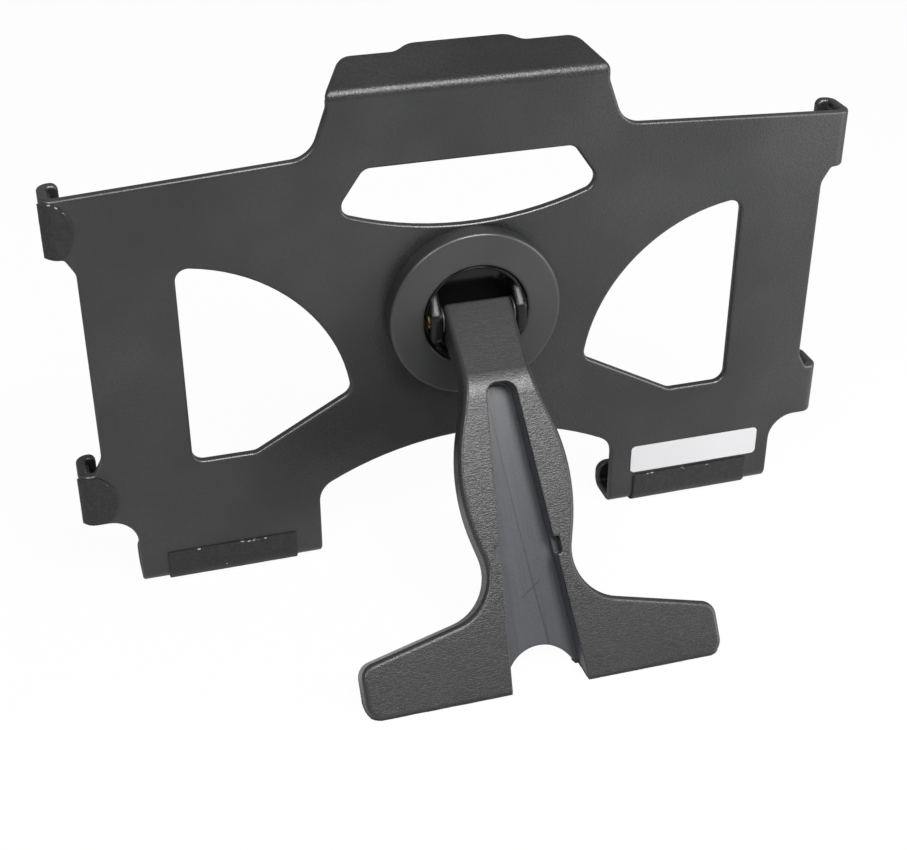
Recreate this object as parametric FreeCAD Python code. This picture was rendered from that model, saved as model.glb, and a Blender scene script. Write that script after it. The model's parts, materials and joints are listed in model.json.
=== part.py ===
"""Tablet holder: one formed sheet with hooks, a swivel ring and a fold-out stand leg.

The model is built around the swivel axis, with the sheet's rear face at y = 0, the tablet
on the +Y side and the leg on the -Y side. All pieces are shifted together at the end.
"""
import FreeCAD, Part
import math
import os

os.makedirs("parts", exist_ok=True)
Vec = FreeCAD.Vector

# Tablet the holder is made for, lying on its long side
tablet_width = 254.2
tablet_height = 155.3
tablet_thick = 8.2
tablet_play = 0.6

# Formed sheet
sheet = 3.0
bend_inner = 1.0
edge_round = 0.9
liner_thick = 0.8
felt_thick = 1.0
lip_overlap = 2.1
bottom_lip_height = 10.2

# Outline of the sheet, measured from the swivel axis
axis_above_foot = 88.9
side_inset = 8.0
foot_inset = 16.5
foot_width = 62.0
arch_top = -48.3
arch_radius = 107.6
arch_corner = 8.3
wing_root_height = 57.3
wing_tip_height = 53.1
neck_root_half = 50.6
neck_top_half = 45.2
neck_straight = 2.0
neck_round = 4.0
upper_hook_low = 33.6
lower_hook_high = -43.1
lower_hook_low = -62.5
hook_flare = 5.2
wing_corner = 9.0

# Openings of the sheet
side_bar = 29.0
window_floor = -43.7
window_floor_width = 21.0
window_width = 54.7
window_tip_z = -25.2
window_arc_shift = 4.2
window_arc_z = -32.0
window_arc_radius = 58.5
slot_top = 51.9
slot_top_half = 34.2
slot_flare = 0.70
slot_floor = 29.6
slot_arc_radius = 115.0
opening_corner = 4.0

# Flared flange along the top
flange_slope = 30.0
flange_room = 3.7
flange_reach = 15.8
flange_corner = 1.5
shoulder_reach = 13.3
tongue_half = 16.0
shoulder_inner = 20.5
shoulder_outer = 37.9
snap_rib_half = 30.0
snap_rib_thick = 2.6
snap_rib_overlap = 2.0

# Swivel: ring screwed to the sheet, hub trapped under its ledge
ring_radius = 28.8
ring_height = 6.8
ring_bore = 17.7
ring_edge = 1.0
ring_ledge = 3.6
hub_flange_radius = 23.0
hub_flange_thick = 2.0
hub_wall = 1.2
hub_floor_thick = 2.0
hub_rim_drop = 0.6
turning_gap = 0.3
washer_thick = 0.6
screw_circle = 26.1
screw_radius = 1.2
screw_head_radius = 2.3
screw_bite = 3.6
screw_count = 4

# Ears of the hub and the pivot of the leg
pivot_out = 6.0
ear_thick = 4.0
ear_front = 10.6
ear_block_low = -5.2
ear_block_high = 3.4
ear_top = 9.2
ear_bottom = -10.0
ear_edge = 1.0
pivot_washer_thick = 0.5
pivot_washer_radius = 4.6
bolt_radius = 2.0
bolt_head_radius = 2.9
bolt_head_thick = 1.6
bolt_proud = 0.2
nut_radius = 2.4
pivot_fit = 0.1

# Stand leg, in its own plane: along = down the leg, out = away from the sheet
leg_open = 35.4
leg_top_half = 11.4
leg_top_along = -4.1
leg_top_out = 4.4
leg_barrel = 5.2
leg_bend_along = 24.0
leg_face_out = 15.2
leg_bend_radius = 22.0
leg_waist_round = 50.0
leg_swell_round = 64.0
leg_neck_round = 15.5
leg_wing_round = 5.0
leg_toe_round = 5.0
leg_under_round = 12.0
leg_barrel_round = 4.0
leg_thick = 9.0
leg_under_along = 27.0
leg_waist_half = 11.0
leg_waist_along = 23.8
leg_swell_half = 20.7
leg_swell_along = 55.0
leg_neck_half = 10.8
leg_neck_along = 92.8
leg_wing_half = 58.5
leg_wing_along = 103.9
leg_toe_cut = 2.2
leg_edge = 1.6
leg_wall = 3.0
leg_rib = 2.0
hollow_start = 42.0
wing_rib_inner = 28.0
wing_rib_outer = 43.0
beam_rib_upper = 62.0
beam_rib_lower = 86.0
pad_thick = 1.0
run_out = 60.0

# Tapered slide channel in the leg
channel_top_along = 23.7
channel_top_half = 4.7
channel_end_half = 15.2
channel_depth = 7.0
notch_along = 77.2
notch_length = 5.6
notch_width = 1.8
notch_depth = 4.0
foot_arch_radius = 12.3
foot_arch_along = 120.0

# Felts and the blank label on the rear face
felt_end = 9.0
felt_height = 11.2
side_felt_wrap = 2.0
felt_disc = 10.4
upper_felt_out = 1.3
lower_felt_out = -1.2
felt_disc_drop = 9.4
label_width = 49.0
label_height = 10.8
label_shift = 1.1
label_above_felt = 1.3
label_thick = 0.3

bend_outer = bend_inner + sheet
bay_depth = tablet_thick + tablet_play
hook_depth = sheet + bay_depth + sheet
web_inside = tablet_width / 2 + tablet_play + liner_thick
web_outside = web_inside + sheet
bend_start = web_outside - bend_outer
side_half = web_outside - side_inset
foot_outer = web_outside - foot_inset
foot_inner = foot_outer - foot_width
window_outer = side_half - side_bar
felt_outer = foot_outer - felt_end
felt_inner = foot_inner + felt_end
label_x = (foot_outer + foot_inner) / 2 + label_shift
lip_end = tablet_width / 2 - lip_overlap
foot_low = -axis_above_foot
foot_bend = foot_low + bend_outer
tablet_seat = foot_low + sheet + felt_thick
tablet_top = tablet_seat + tablet_height
table = foot_low - felt_thick


def front(u, v):
    """A point of a front outline: u across, v up."""
    return Vec(u, 0, v)


def side(u, v):
    """A point of a side profile: u in depth, v up."""
    return Vec(0, u, v)


def plan(u, v):
    """A point of a plan outline: u across, v in depth."""
    return Vec(u, v, 0)


def rounded_face(points, place):
    """A face whose corners (u, v, radius) are rounded by tangent arcs."""
    corners = [(Vec(p[0], p[1], 0), p[2] if len(p) > 2 else 0.0) for p in points]
    spans = []
    for i, (here, radius) in enumerate(corners):
        back = (corners[i - 1][0] - here).normalize()
        ahead = (corners[(i + 1) % len(corners)][0] - here).normalize()
        if radius == 0.0:
            spans.append((here, here, here))
            continue
        half = back.getAngle(ahead) / 2
        reach = radius / math.tan(half)
        bisector = (back + ahead).normalize()
        middle = here + bisector * (radius / math.sin(half) - radius)
        spans.append((here + back * reach, middle, here + ahead * reach))
    edges = []
    for i, (enter, middle, leave) in enumerate(spans):
        if (leave - enter).Length > 1e-6:
            ends = [place(p.x, p.y) for p in (enter, middle, leave)]
            edges.append(Part.Arc(*ends).toShape())
        target = spans[(i + 1) % len(spans)][0]
        if (target - leave).Length > 1e-6:
            edges.append(Part.LineSegment(place(leave.x, leave.y), place(target.x, target.y)).toShape())
    return Part.Face(Part.Wire(edges))


def mirrored(points):
    """The right half of an outline followed by its left half."""
    left = [(-p[0],) + tuple(p[1:]) for p in reversed(points)]
    return points + left


def front_prism(points, y_from, y_to):
    """A front outline run from one depth to another."""
    solid = rounded_face(points, front).extrude(Vec(0, y_to - y_from, 0))
    solid.translate(Vec(0, y_from, 0))
    return solid


def side_prism(points, x_from, x_to):
    """A side profile run across from one x to another."""
    solid = rounded_face(points, side).extrude(Vec(x_to - x_from, 0, 0))
    solid.translate(Vec(x_from, 0, 0))
    return solid


def plan_prism(points, z_from, z_to):
    """A plan outline run up from one height to another."""
    solid = rounded_face(points, plan).extrude(Vec(0, 0, z_to - z_from))
    solid.translate(Vec(0, 0, z_from))
    return solid


def round_bar(radius, x, z, y_from, y_to):
    """A cylinder along Y."""
    return Part.makeCylinder(radius, y_to - y_from, Vec(x, y_from, z), Vec(0, 1, 0))


def cross_bar(radius, x_from, x_to, y, z):
    """A cylinder along X."""
    return Part.makeCylinder(radius, x_to - x_from, Vec(x_from, y, z), Vec(1, 0, 0))


def flip(solid):
    """The mirror image across the middle plane."""
    return solid.mirror(Vec(0, 0, 0), Vec(1, 0, 0))


def edges_along(solid, direction):
    """The straight edges that run along a direction."""
    chosen = []
    for edge in solid.Edges:
        if isinstance(edge.Curve, Part.Line):
            if abs(edge.tangentAt(edge.FirstParameter).dot(direction)) > 0.999:
                chosen.append(edge)
    return chosen


def fold_angle(solid, edge):
    """The angle in degrees between the two faces that meet at an edge."""
    spot = edge.valueAt((edge.FirstParameter + edge.LastParameter) / 2)
    normals = []
    for face in solid.ancestorsOfType(edge, Part.Face):
        u, v = face.Surface.parameter(spot)
        normals.append(face.normalAt(u, v))
    if len(normals) < 2:
        return 0.0
    return math.degrees(normals[0].getAngle(normals[1]))


def sharp_edges(solid):
    """The edges where the surface turns by more than a slight bend."""
    return [edge for edge in solid.Edges if fold_angle(solid, edge) > 30.0]


# Formed sheet: the flat, then the bends
flange_angle = math.radians(flange_slope)
inner_corner_z = tablet_top + flange_room + liner_thick
rise = math.tan(flange_angle)
under_offset = sheet / math.cos(flange_angle)
top_corner_z = inner_corner_z - sheet * rise + under_offset
bend_turn = math.pi / 2 - flange_angle
flat_top = top_corner_z - bend_outer * math.tan(bend_turn / 2)

flare_start = bend_start - 1.0
outline = [
    (neck_top_half, flat_top),
    (neck_top_half, flat_top - neck_straight, neck_round),
    (neck_root_half, wing_root_height, wing_corner),
    (flare_start, wing_tip_height, 20.0),
    (bend_start, wing_tip_height),
    (bend_start, upper_hook_low),
    (flare_start, upper_hook_low, 1.5),
    (side_half, upper_hook_low - hook_flare, hook_flare),
    (side_half, lower_hook_high + hook_flare, hook_flare),
    (flare_start, lower_hook_high, 1.5),
    (bend_start, lower_hook_high),
    (bend_start, lower_hook_low),
    (foot_outer, lower_hook_low, wing_corner),
    (foot_outer, foot_bend),
]
flat = front_prism(mirrored(outline), 0, sheet)

side_hook = [
    (bend_start, 0),
    (web_outside, 0, bend_outer),
    (web_outside, hook_depth, bend_outer),
    (lip_end, hook_depth),
    (lip_end, hook_depth - sheet),
    (web_inside, hook_depth - sheet, bend_inner),
    (web_inside, sheet, bend_inner),
    (bend_start, sheet),
]


def lip_rounded(hook, axis, radius, test):
    """A hook whose lip corners are rounded."""
    corners = [edge for edge in edges_along(hook, axis) if test(edge.CenterOfMass)]
    return hook.makeFillet(radius, corners)


def make_side_hook(z_low, z_high):
    """A hook on the right side between two heights."""
    hook = plan_prism(side_hook, z_low, z_high)
    return lip_rounded(hook, Vec(0, 1, 0), 2.2, lambda c: c.x < lip_end + 0.1 and c.y > sheet)


bottom_hook_profile = [
    (0, foot_bend),
    (0, foot_low, bend_outer),
    (hook_depth, foot_low, bend_outer),
    (hook_depth, foot_low + bottom_lip_height),
    (hook_depth - sheet, foot_low + bottom_lip_height),
    (hook_depth - sheet, foot_low + sheet, bend_inner),
    (sheet, foot_low + sheet, bend_inner),
    (sheet, foot_bend),
]
bottom_hook = side_prism(bottom_hook_profile, foot_inner, foot_outer)
bottom_hook = lip_rounded(bottom_hook, Vec(0, 1, 0), 4.0, lambda c: c.z > foot_bend and c.y > sheet)

flange_end = flange_reach + 5.0
flange_profile = [
    (0, flat_top),
    (0, top_corner_z, bend_outer),
    (flange_end, top_corner_z + flange_end * rise),
    (flange_end, top_corner_z + flange_end * rise - under_offset),
    (sheet, inner_corner_z, bend_inner),
    (sheet, flat_top),
]
flange = side_prism(flange_profile, -neck_top_half, neck_top_half)
flange_outline = [
    (neck_top_half, -1.0),
    (neck_top_half, flange_corner, 1.0),
    (shoulder_outer, shoulder_reach, 6.0),
    (shoulder_inner, shoulder_reach, 7.0),
    (tongue_half, flange_reach, 9.0),
]
flange = flange.common(plan_prism(mirrored(flange_outline), 0, tablet_height))

# Openings cut through the sheet
window_kink = window_outer - window_floor_width
window_tip_x = window_outer - window_width
window_arc_x = window_outer + window_arc_shift
window_slope = (window_floor - window_tip_z) / (window_kink - window_tip_x)
window_reach = window_arc_x - window_arc_radius - 10.0
window_points = [
    (window_reach, window_tip_z + (window_reach - window_tip_x) * window_slope),
    (window_kink, window_floor),
    (window_outer, window_floor),
    (window_outer, window_arc_z + window_arc_radius + 10.0),
    (window_reach, window_arc_z + window_arc_radius + 10.0),
]
window = front_prism(window_points, -sheet, 2 * sheet)
window = window.common(round_bar(window_arc_radius, window_arc_x, window_arc_z, -sheet, 2 * sheet))
window = window.makeFillet(opening_corner, edges_along(window, Vec(0, 1, 0)))

slot_low = slot_floor - 5.0
slot_points = mirrored([
    (slot_top_half, slot_top),
    (slot_top_half + (slot_top - slot_low) * slot_flare, slot_low),
])
slot = front_prism(slot_points, -sheet, 2 * sheet)
slot = slot.common(round_bar(slot_arc_radius, 0, slot_floor + slot_arc_radius, -sheet, 2 * sheet))
slot = slot.makeFillet(opening_corner, edges_along(slot, Vec(0, 1, 0)))

arch_points = mirrored([(foot_inner, arch_top + 10.0), (foot_inner, foot_low - 10.0)])
arch = front_prism(arch_points, -sheet, 2 * sheet)
arch = arch.common(round_bar(arch_radius, 0, arch_top - arch_radius, -sheet, 2 * sheet))
arch_corners = [edge for edge in edges_along(arch, Vec(0, 1, 0)) if edge.CenterOfMass.z > foot_bend]
arch = arch.makeFillet(arch_corner, arch_corners)


def eased(solid, on_joint):
    """A part of the sheet with its edges eased, except where the next part joins it."""
    chosen = []
    for edge in sharp_edges(solid):
        if not all(on_joint(vertex.Point) for vertex in edge.Vertexes):
            chosen.append(edge)
    return solid.makeFillet(edge_round, chosen)


def on_flat_joint(p):
    """Tells whether a point of the flat lies on one of its bend lines."""
    ends = (bend_start - abs(p.x), p.z - foot_bend, flat_top - p.z)
    return min(ends) < 0.001


def on_side_joint(p):
    """Tells whether a point of a side hook lies on its bend line."""
    return p.x < bend_start + 0.001 and p.y < sheet + 0.001


def on_foot_joint(p):
    """Tells whether a point of a bottom hook lies on its bend line."""
    return p.z > foot_bend - 0.001 and p.y < sheet + 0.001


def on_top_joint(p):
    """Tells whether a point of the flange lies on its bend line."""
    return p.z < flat_top + 0.001


flat = eased(flat.cut([window, flip(window), slot, arch]), on_flat_joint)
right_hooks = [
    eased(make_side_hook(upper_hook_low, wing_tip_height), on_side_joint),
    eased(make_side_hook(lower_hook_low, lower_hook_high), on_side_joint),
    eased(bottom_hook, on_foot_joint),
]
hooks = right_hooks + [flip(hook) for hook in right_hooks]
plate = flat.fuse(hooks + [eased(flange, on_top_joint)]).removeSplitter()
hub_outer = ring_bore - turning_gap

# Seat of the swivel, and the screws from the tablet side
hub_hole = round_bar(hub_outer + 2 * turning_gap, 0, 0, -sheet, 2 * sheet)
screw_spots = []
for i in range(screw_count):
    turn = math.radians(45.0 + 360.0 * i / screw_count)
    screw_spots.append((screw_circle * math.cos(turn), screw_circle * math.sin(turn)))


def countersunk(x, z, radius, head_radius, y_end):
    """A countersunk screw body flush with the sheet's tablet side."""
    head_depth = head_radius - radius
    cone = Part.makeCone(radius, head_radius, head_depth, Vec(x, sheet - head_depth, z), Vec(0, 1, 0))
    return cone.fuse(round_bar(radius, x, z, y_end, sheet - head_depth)).removeSplitter()


screw_holes = [countersunk(x, z, screw_radius, screw_head_radius, -sheet) for x, z in screw_spots]
plate = plate.cut([hub_hole] + screw_holes)

rib_y = sheet + bay_depth
rib_top = inner_corner_z + (rib_y - sheet) * rise + 1.0
rib_points = [
    (rib_y, tablet_top - snap_rib_overlap, 1.2),
    (rib_y + snap_rib_thick, tablet_top - snap_rib_overlap, 1.2),
    (rib_y + snap_rib_thick, rib_top),
    (rib_y, rib_top),
]
plate = plate.fuse(side_prism(rib_points, -snap_rib_half, snap_rib_half)).removeSplitter()

# Swivel ring
pocket_depth = ring_height - ring_ledge
pocket_radius = hub_flange_radius + turning_gap
ring = round_bar(ring_radius, 0, 0, -ring_height, 0)
rim = [edge for edge in ring.Edges if edge.Closed and edge.CenterOfMass.y < -ring_height / 2]
ring = ring.makeFillet(ring_edge, rim)
ring = ring.cut(round_bar(ring_bore, 0, 0, -2 * ring_height, ring_height))
ring = ring.cut(round_bar(pocket_radius, 0, 0, -pocket_depth, ring_height))
bore_rim = [e for e in ring.Edges if e.Closed and abs(e.CenterOfMass.y + ring_height) < 0.01]
bore_rim = [e for e in bore_rim if e.Curve.Radius < ring_bore + 0.1]
ring = ring.makeFillet(0.5, bore_rim)
ring = ring.cut([round_bar(screw_radius, x, z, -screw_bite, 1.0) for x, z in screw_spots])

screws = []
for x, z in screw_spots:
    screw = countersunk(x, z, screw_radius, screw_head_radius, -screw_bite)
    recess = Part.makeBox(2.6, 1.0, 0.6, Vec(x - 1.3, sheet - 0.8, z - 0.3))
    cross = Part.makeBox(0.6, 1.0, 2.6, Vec(x - 0.3, sheet - 0.8, z - 1.3))
    screws.append(screw.cut([recess, cross]))
ring_screws = Part.makeCompound(screws)

# Hub: flange under the ring's ledge, dished floor, two ears
flange_front = -pocket_depth + turning_gap
flange_rear = flange_front + hub_flange_thick
floor_rear = sheet - turning_gap
floor_front = floor_rear - hub_floor_thick
cup_inside = hub_outer - hub_wall
hub_rim = hub_rim_drop - ring_height
hub_points = [
    (0, floor_rear),
    (hub_outer, floor_rear),
    (hub_outer, flange_rear),
    (hub_flange_radius, flange_rear),
    (hub_flange_radius, flange_front),
    (hub_outer, flange_front),
    (hub_outer, hub_rim, 0.5),
    (cup_inside, hub_rim, 0.5),
    (cup_inside, floor_front, 1.0),
    (0, floor_front),
]
hub = rounded_face(hub_points, plan).revolve(Vec(0, 0, 0), Vec(0, 1, 0), 360)

ear_inside = leg_top_half + turning_gap + pivot_washer_thick
ear_outside = ear_inside + ear_thick
ear_points = [
    (floor_front + 0.5, ear_bottom),
    (-pivot_out, ear_bottom, 2.0),
    (-ear_front, ear_block_low, 1.5),
    (-ear_front, ear_block_high, 1.4),
    (-pivot_out + 1.0, ear_top, 3.4),
    (floor_front + 0.5, ear_top),
]
ear = side_prism(ear_points, ear_inside, ear_outside)
ear_rims = [edge for edge in sharp_edges(ear) if edge.CenterOfMass.y < floor_front]
ear = ear.makeFillet(ear_edge, ear_rims)
ear = ear.common(round_bar(cup_inside + 0.6, 0, 0, -2 * ear_front, sheet))
hub = hub.fuse([ear, flip(ear)]).removeSplitter()
pin_y = -pivot_out
head_seat = ear_outside + bolt_proud - bolt_head_thick
hub = hub.cut([
    cross_bar(bolt_radius + pivot_fit, 0, ear_outside + 1.0, pin_y, 0),
    cross_bar(bolt_head_radius + pivot_fit, head_seat, ear_outside + 1.0, pin_y, 0),
    cross_bar(nut_radius + pivot_fit, -ear_outside - 1.0, 0, pin_y, 0),
])

friction_washer = round_bar(hub_flange_radius - turning_gap, 0, 0, -washer_thick, 0)
friction_washer = friction_washer.cut(round_bar(hub_outer + 1.2, 0, 0, -ring_height, ring_height))

# Pivot hardware
bolt_end = ear_outside + bolt_proud
bolt = cross_bar(bolt_radius, -ear_inside, head_seat, pin_y, 0)
head = cross_bar(bolt_head_radius, head_seat, bolt_end, pin_y, 0)
head_rim = [e for e in head.Edges if e.Closed and e.CenterOfMass.x > head_seat + 0.1]
head = head.makeFillet(0.4, head_rim)
socket_points = []
for i in range(6):
    turn = math.radians(60.0 * i)
    socket_points.append((pin_y + 1.5 * math.cos(turn), 1.5 * math.sin(turn)))
socket = side_prism(socket_points, bolt_end - 1.1, bolt_end + 1.0)
pivot_bolt = bolt.fuse(head).removeSplitter().cut(socket)

nut = cross_bar(nut_radius, -bolt_end, -ear_inside, pin_y, 0)
slit = Part.makeBox(0.7, 2 * nut_radius, 0.8, Vec(-bolt_end, pin_y - nut_radius, -0.4))
pivot_nut = nut.cut(slit)

pivot_washer = cross_bar(pivot_washer_radius, ear_inside - pivot_washer_thick, ear_inside, pin_y, 0)
pivot_washer = pivot_washer.cut(cross_bar(bolt_radius + pivot_fit, 0, 2 * ear_inside, pin_y, 0))
pivot_washers = Part.makeCompound([pivot_washer, flip(pivot_washer)])

# Stand leg: side profile met with the front outline, still folded against the sheet
leg_end = leg_neck_along + run_out
leg_back_out = leg_face_out - leg_thick
leg_profile = [
    (-leg_top_out, -leg_top_along, 0.8),
    (-leg_face_out, -leg_bend_along, leg_bend_radius),
    (-leg_face_out, -leg_end),
    (-leg_back_out, -leg_end),
    (-leg_back_out, -leg_under_along, leg_under_round),
    (leg_barrel, -leg_barrel / 2, leg_barrel_round),
    (leg_barrel, -leg_top_along, leg_barrel_round),
]
leg_turn = math.radians(leg_open)
sole = table + pad_thick
sole_along = (leg_face_out * math.sin(leg_turn) - sole) / math.cos(leg_turn)
toe_run = leg_end - sole_along + leg_toe_cut
leg_outline = mirrored([
    (leg_top_half, -leg_top_along + 1.0),
    (leg_waist_half, -leg_waist_along, leg_waist_round),
    (leg_swell_half, -leg_swell_along, leg_swell_round),
    (leg_neck_half, -leg_neck_along, leg_neck_round),
    (leg_wing_half, -leg_wing_along, leg_wing_round),
    (leg_wing_half, -sole_along + leg_toe_cut, leg_toe_round),
    (leg_wing_half - toe_run, -leg_end),
])
leg_block = side_prism(leg_profile, -leg_wing_half - run_out, leg_wing_half + run_out)
leg = leg_block.common(front_prism(leg_outline, -run_out, run_out))


def on_outer_face(edge):
    """Tells whether an edge of the folded leg lies on its outer face."""
    middle = edge.valueAt((edge.FirstParameter + edge.LastParameter) / 2)
    return not leg_block.isInside(middle - Vec(0, 0.5, 0), 0.01, True)


leg_rims = [edge for edge in sharp_edges(leg) if on_outer_face(edge) and edge.CenterOfMass.z > -leg_end + 0.1]
leg = leg.makeFillet(leg_edge, leg_rims)

# Tapered slide channel with its two latch notches and the arched mouth
channel_floor = leg_face_out - channel_depth
channel_taper = (channel_end_half - channel_top_half) / (leg_end - channel_top_along)


def channel_outline(grow):
    """The channel's outline in the leg's plane, grown by a wall."""
    return mirrored([
        (channel_top_half + grow, -channel_top_along + grow, (channel_top_half + grow) * 0.85),
        (channel_end_half + grow, -leg_end),
    ])


channel = front_prism(channel_outline(0.0), -run_out, -channel_floor)
notch_half = channel_top_half + (notch_along - channel_top_along) * channel_taper + notch_width
notch = front_prism(mirrored([
    (notch_half, -notch_along + notch_length / 2, 0.8),
    (notch_half, -notch_along - notch_length / 2, 0.8),
]), -run_out, -leg_face_out + notch_depth)
foot_arch = round_bar(foot_arch_radius, 0, -foot_arch_along, -run_out, run_out)
foot_mouth = front_prism(mirrored([
    (foot_arch_radius, -foot_arch_along),
    (foot_arch_radius, -sole_along + leg_toe_cut, leg_toe_cut),
    (foot_arch_radius + toe_run, -leg_end),
]), -run_out, run_out)
leg = leg.cut([channel, notch, foot_arch, foot_mouth])

# Hollows in the rear of the leg, with stiffening ribs left between them
hollow_face = rounded_face(leg_outline, front).makeOffset2D(-leg_wall)
hollow = hollow_face.extrude(Vec(0, run_out, 0))
hollow.translate(Vec(0, -leg_face_out + leg_wall, 0))
tray = front_prism(channel_outline(leg_wall), -run_out, run_out)
wide = 2 * leg_wing_half + run_out
head_block = Part.makeBox(wide, 2 * run_out, wide, Vec(-wide / 2, -run_out, -hollow_start))
ribs = []
for x in (-wing_rib_outer, -wing_rib_inner, wing_rib_inner, wing_rib_outer):
    ribs.append(Part.makeBox(leg_rib, 2 * run_out, leg_end, Vec(x - leg_rib / 2, -run_out, -leg_end)))
for along in (beam_rib_upper, beam_rib_lower):
    ribs.append(Part.makeBox(wide, 2 * run_out, leg_rib, Vec(-wide / 2, -run_out, -along)))
hollow = hollow.cut([tray, head_block] + ribs)


def placed(solid):
    """A piece of the leg turned from folded to its open rest angle."""
    turned = solid.copy()
    turned.rotate(Vec(0, 0, 0), Vec(1, 0, 0), -leg_open)
    turned.translate(Vec(0, pin_y, 0))
    return turned


def ground(height):
    """Everything below a height."""
    return Part.makeBox(wide, 2 * leg_end, leg_end, Vec(-wide / 2, -2 * leg_end, height - leg_end))


leg = placed(leg).cut([ground(sole), placed(hollow).cut(ground(sole + leg_wall))])
stand_leg = leg.cut(cross_bar(bolt_radius + turning_gap, -2 * ear_outside, 2 * ear_outside, pin_y, 0))

# Foot pads under the two wings
soles = [f for f in stand_leg.Faces if abs(f.CenterOfMass.z - sole) < 0.001]
pads = [f.extrude(Vec(0, 0, -pad_thick)) for f in soles]
foot_pad_left = [p for p in pads if p.CenterOfMass.x < 0][0]
foot_pad_right = [p for p in pads if p.CenterOfMass.x > 0][0]

# Felts outside the hooks
felt_top = foot_low + felt_height
felt_bend = bend_outer + felt_thick
bottom_felt_profile = [
    (0, felt_top),
    (-felt_thick, felt_top),
    (-felt_thick, table, felt_bend),
    (hook_depth - bend_outer, table),
    (hook_depth - bend_outer, foot_low),
    (0, foot_low, bend_outer),
]
felt_bottom_right = side_prism(bottom_felt_profile, felt_inner, felt_outer)
felt_bottom_left = flip(felt_bottom_right)

side_felt_profile = [
    (web_outside - 2 * felt_disc, 0),
    (web_outside - 2 * felt_disc, -felt_thick),
    (web_outside + felt_thick, -felt_thick, felt_bend),
    (web_outside + felt_thick, hook_depth - bend_outer),
    (web_outside, hook_depth - bend_outer),
    (web_outside, 0, bend_outer),
]


def make_side_felt(z_low, z_high, disc_out):
    """A round felt lying half on the rear face and bent round the edge of a left hook."""
    felt = plan_prism(side_felt_profile, z_low, z_high)
    disc = round_bar(felt_disc, web_outside + disc_out, z_high - felt_disc_drop, -bend_outer, side_felt_wrap)
    return flip(felt.common(disc))


upper_felt_ends = (upper_hook_low + edge_round, wing_tip_height - edge_round)
lower_felt_ends = (lower_hook_low + edge_round, lower_hook_high - edge_round)
felt_upper_left = make_side_felt(*upper_felt_ends, upper_felt_out)
felt_lower_left = make_side_felt(*lower_felt_ends, lower_felt_out)


def make_side_liner(z_low, z_high):
    """A strip inside the web of a right hook."""
    length = z_high - z_low - 4.0
    width = bay_depth - 2 * bend_inner
    corner = Vec(web_inside - liner_thick, sheet + bend_inner, z_low + 2.0)
    return Part.makeBox(liner_thick, width, length, corner)


liner_upper_right = make_side_liner(upper_hook_low, wing_tip_height)
liner_lower_right = make_side_liner(lower_hook_low, lower_hook_high)
liner_upper_left = flip(liner_upper_right)
liner_lower_left = flip(liner_lower_right)
liner_corner = Vec(felt_inner, sheet + bend_inner, foot_low + sheet)
liner_size = (felt_outer - felt_inner, bay_depth - 2 * bend_inner, felt_thick)
liner_bottom_right = Part.makeBox(*liner_size, liner_corner)
liner_bottom_left = flip(liner_bottom_right)


def under_flange(y, drop):
    """A point under the flange at a depth, dropped by a distance."""
    return (y, inner_corner_z + (y - sheet) * rise - drop)


liner_points = [
    under_flange(sheet + bend_inner + 0.6, 0),
    under_flange(rib_y - 0.8, 0),
    under_flange(rib_y - 0.8, liner_thick),
    under_flange(sheet + bend_inner + 0.6, liner_thick),
]
liner_top = side_prism(liner_points, -snap_rib_half, snap_rib_half)

# Blank label above the right foot felt
label_right = label_x + label_width / 2
label_left = label_x - label_width / 2
label_down = felt_top + label_above_felt
label_up = label_down + label_height
blank_label = front_prism([
    (label_right, label_up, 1.6),
    (label_right, label_down, 1.6),
    (label_left, label_down, 1.6),
    (label_left, label_up, 1.6),
], -label_thick, 0)

pieces = {
    "holder_plate": plate,
    "swivel_ring": ring,
    "ring_screws": ring_screws,
    "friction_washer": friction_washer,
    "swivel_hub": hub,
    "pivot_bolt": pivot_bolt,
    "pivot_nut": pivot_nut,
    "pivot_washers": pivot_washers,
    "stand_leg": stand_leg,
    "foot_pad_left": foot_pad_left,
    "foot_pad_right": foot_pad_right,
    "felt_bottom_left": felt_bottom_left,
    "felt_bottom_right": felt_bottom_right,
    "felt_upper_left": felt_upper_left,
    "felt_lower_left": felt_lower_left,
    "liner_upper_left": liner_upper_left,
    "liner_upper_right": liner_upper_right,
    "liner_lower_left": liner_lower_left,
    "liner_lower_right": liner_lower_right,
    "liner_bottom_left": liner_bottom_left,
    "liner_bottom_right": liner_bottom_right,
    "liner_top": liner_top,
    "blank_label": blank_label,
}

# The row's origin: middle of the plan, on the table
whole = Part.makeCompound(list(pieces.values())).optimalBoundingBox(False, False)
to_origin = Vec(-(whole.XMin + whole.XMax) / 2, -(whole.YMin + whole.YMax) / 2, -whole.ZMin)
for name, shape in pieces.items():
    shape.translate(to_origin)
    shape.exportStep("parts/" + name + ".step")
    print(name, shape.isValid(), len(shape.Solids), round(shape.Volume / 1000.0, 2), "cm3")
print("swivel axis at", [round(value, 4) for value in to_origin])
print("pivot at y", round(to_origin.y + pin_y, 4))
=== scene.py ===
# %% [markdown]
# # A tablet holder that swivels and stands on a folding leg
# The holder is one sheet of dark plastic, folded into hooks, with a round swivel in the middle and
# a moulded leg with two wings. The solids come from CAD at their true size, so this lesson never
# moves them: it gives them finishes, swaps the plain felts for soft ones, and sets up the picture.

# %% Load the frame
import json
import math

import bmesh
import bpy
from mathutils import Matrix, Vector, noise


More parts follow.
